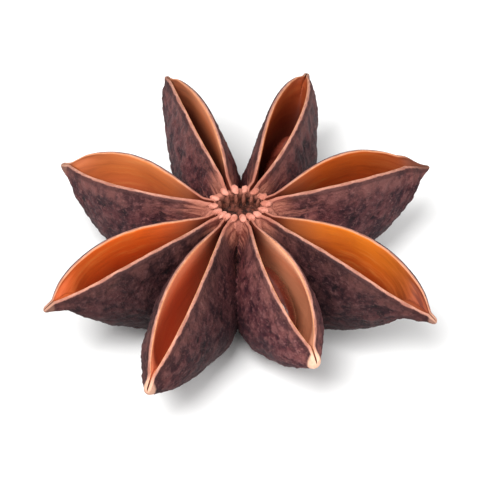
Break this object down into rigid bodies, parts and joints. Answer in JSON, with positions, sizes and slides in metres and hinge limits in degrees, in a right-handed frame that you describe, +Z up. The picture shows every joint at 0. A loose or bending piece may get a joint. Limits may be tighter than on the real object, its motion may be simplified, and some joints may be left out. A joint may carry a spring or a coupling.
{
  "type": "star anise pod",
  "caption": "Dried star anise pod: woody boat-shaped carpels split open round a sunken centre, with glossy seeds lying in some.",
  "frame": {"origin": "middle of the broken stalk's flat face, on the pod's axis, on the ground", "axes": "+Z up out of the open side, along the column; +X and +Y out along the carpels"},
  "size_m": [0.0341, 0.0396, 0.0116],
  "materials": {
    "pod": "dry, wrinkled red-brown skin outside, smooth orange-brown inside, paler at the lips",
    "seed": "smooth, glossy red-brown seed coat"
  },
  "bodies": {
    "root": {"pod": "pod", "seed_upper": "seed", "seed_lower": "seed"}
  },
  "joints": []
}
